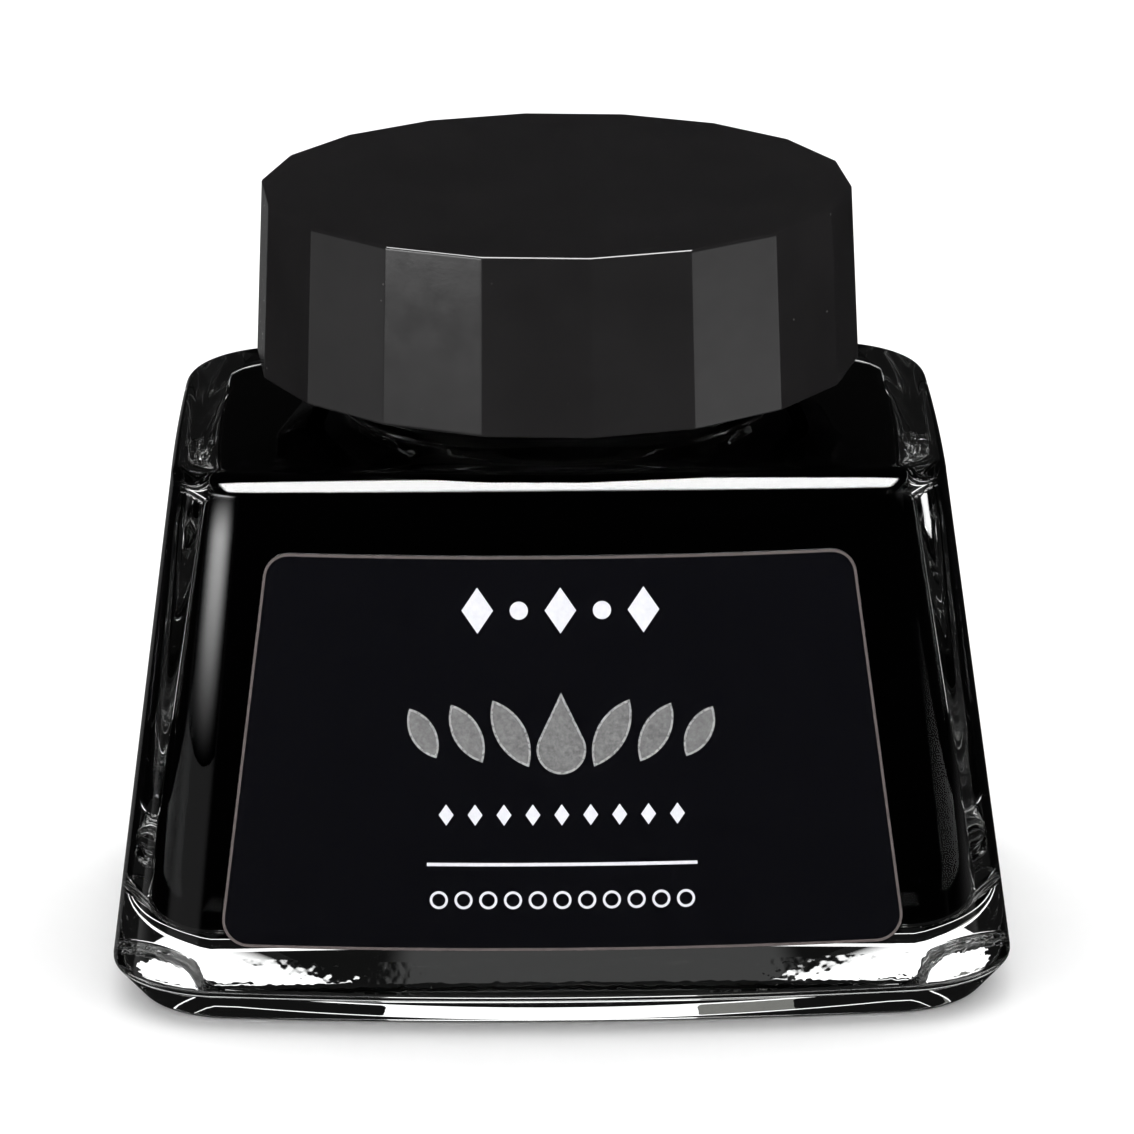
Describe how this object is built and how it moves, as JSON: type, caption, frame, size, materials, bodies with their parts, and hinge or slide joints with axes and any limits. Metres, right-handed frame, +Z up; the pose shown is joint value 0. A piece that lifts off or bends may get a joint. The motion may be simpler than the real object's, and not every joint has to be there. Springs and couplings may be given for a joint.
{
  "type": "ink bottle",
  "caption": "Tapered thick-walled glass ink bottle with a clear base, black label and an 18-sided black screw cap that turns and lifts off its thread.",
  "frame": {"origin": "middle of the underside, on the surface that the bottle stands on", "axes": "+X along the width, -Y towards the labelled front, +Z up along the neck's axis"},
  "size_m": [0.056, 0.0406, 0.0485],
  "materials": {
    "glass": "clear pressed glass, polished",
    "ink": "black liquid",
    "cap_plastic": "semi-gloss moulded plastic",
    "insert_plastic": "plain moulded plastic",
    "liner_foam": "foamed polyethylene",
    "label_film": "satin film",
    "print": "printed ink",
    "foil": "hot-stamped foil"
  },
  "bodies": {
    "bottle": {"glass_bottle": "glass", "ink": "ink", "front_label": "label_film", "front_print": "print", "front_foil": "foil", "back_label": "label_film"},
    "seal": {"cap_liner": "liner_foam"},
    "cap": {"cap_shell": "cap_plastic", "cap_insert": "insert_plastic"}
  },
  "joints": [
    {"name": "cap_lift", "type": "slide", "parent": "bottle", "child": "seal", "axis": [0, 0, 1], "range_m": [0, 0.0129]},
    {"name": "cap_turn", "type": "hinge", "parent": "seal", "child": "cap", "pos_m": [0, 0, 0.043], "axis": [0, 0, 1], "range_deg": [0, 1440]}
  ],
  "couplings": [
    {"joint": "cap_lift", "follows": "cap_turn", "m_per_rad": 0.0005093}
  ]
}
